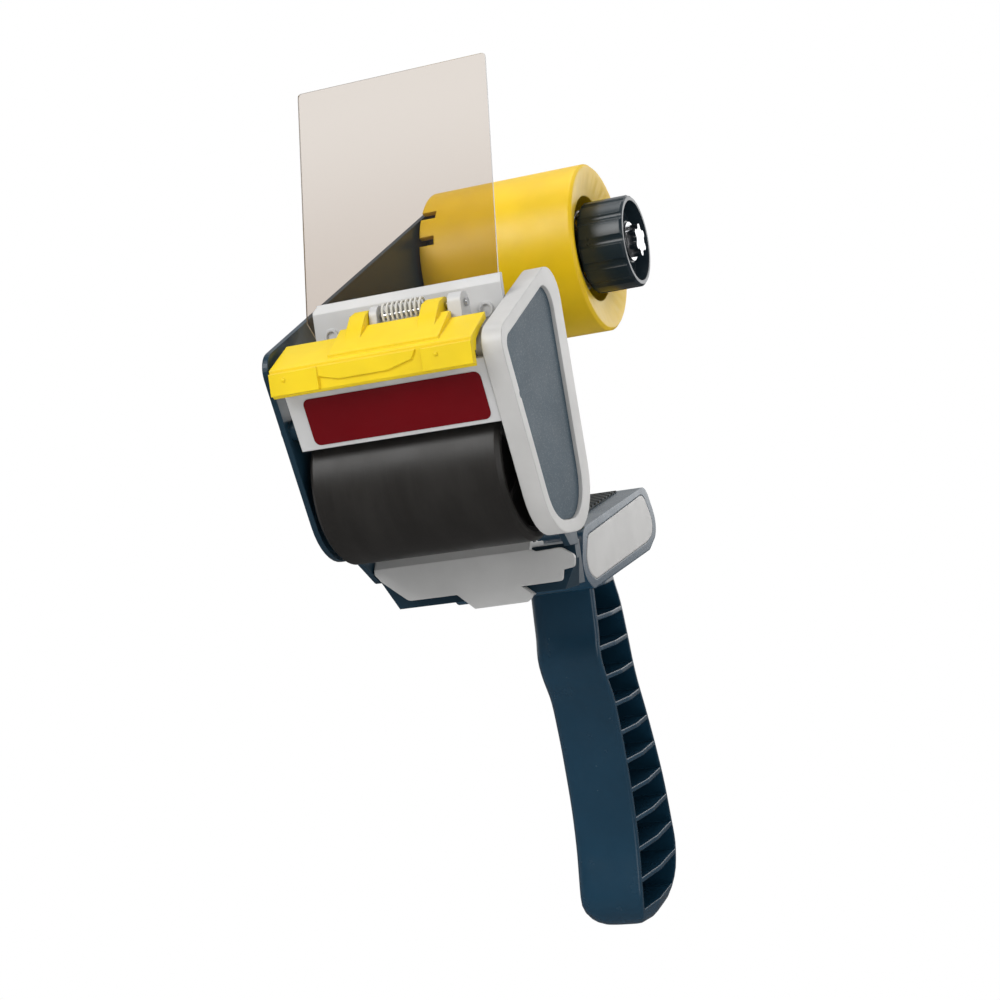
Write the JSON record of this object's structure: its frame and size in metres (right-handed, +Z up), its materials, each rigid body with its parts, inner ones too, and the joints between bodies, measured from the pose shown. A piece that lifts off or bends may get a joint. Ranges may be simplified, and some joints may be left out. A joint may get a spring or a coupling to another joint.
{
  "type": "tape dispenser",
  "caption": "Hand-held packing-tape dispenser: ribbed pistol grip, side frame with a braked tape hub, and a roller head with a toothed blade, sprung guard and clear shield.",
  "frame": {"origin": "centre of the pistol grip, halfway across its width", "axes": "+X along the hub and roller axes to the open side, +Y to the back, +Z up along the grip"},
  "size_m": [0.1, 0.2449, 0.3715],
  "materials": {
    "navy_plastic": "moulded navy plastic, satin gloss",
    "frame_plastic": "dark moulded plastic with fine metallic fleck",
    "light_plastic": "warm light grey plastic, satin",
    "slate_plastic": "slate plastic with a fine grain",
    "white_plastic": "off-white plastic, satin",
    "label_film": "plain glossy dark red film",
    "guard_plastic": "bright yellow plastic",
    "hub_plastic": "yellow plastic, slightly translucent",
    "clear_film": "clear flexible film, faintly warm",
    "blade_steel": "spring steel strip",
    "wire_steel": "drawn wire",
    "plated_steel": "bright plated",
    "roller_rubber": "black rubber, ground finish",
    "friction_disc": "pressed fibre",
    "wiper_plastic": "light grey flexible plastic",
    "rest_rubber": "dark ribbed rubber"
  },
  "bodies": {
    "frame": {"side_frame": "frame_plastic", "right_frame": "light_plastic", "right_panel": "slate_plastic", "front_plate": "white_plastic", "label": "label_film", "blade": "blade_steel", "bridge": "white_plastic", "guard_pin": "plated_steel", "shield": "clear_film", "shield_clips": "plated_steel", "roller_axle": "plated_steel", "smoothing_plate": "wiper_plastic", "plate_rivets": "plated_steel", "hub_sleeve": "white_plastic", "hub_bolt": "plated_steel", "grip": "navy_plastic", "grip_panel": "light_plastic", "thumb_rest": "rest_rubber", "grip_screws": "plated_steel", "frame_screws": "plated_steel"},
    "hub": {"hub_drum": "hub_plastic", "brake_disc": "friction_disc"},
    "knob": {"brake_knob": "navy_plastic", "star_nut": "plated_steel", "brake_spring": "wire_steel", "spring_cup": "plated_steel"},
    "roller": {"roller_rubber": "roller_rubber", "roller_core": "light_plastic", "roller_bushes": "white_plastic"},
    "guard": {"blade_guard": "guard_plastic", "guard_spring": "wire_steel"}
  },
  "joints": [
    {"name": "hub_spin", "type": "hinge", "parent": "frame", "child": "hub", "pos_m": [0, 0.0045, 0.232], "axis": [1, 0, 0], "continuous": true},
    {"name": "knob_turn", "type": "hinge", "parent": "frame", "child": "knob", "pos_m": [0.038, 0.0045, 0.232], "axis": [1, 0, 0], "range_deg": [-180, 180]},
    {"name": "roller_spin", "type": "hinge", "parent": "frame", "child": "roller", "pos_m": [0, -0.15, 0.138], "axis": [1, 0, 0], "continuous": true},
    {"name": "guard_lift", "type": "hinge", "parent": "frame", "child": "guard", "pos_m": [0, -0.1725, 0.2], "axis": [-1, 0, 0], "range_deg": [0, 35], "stiffness_Nm_per_rad": 0.05, "springref_deg": -22.92}
  ]
}
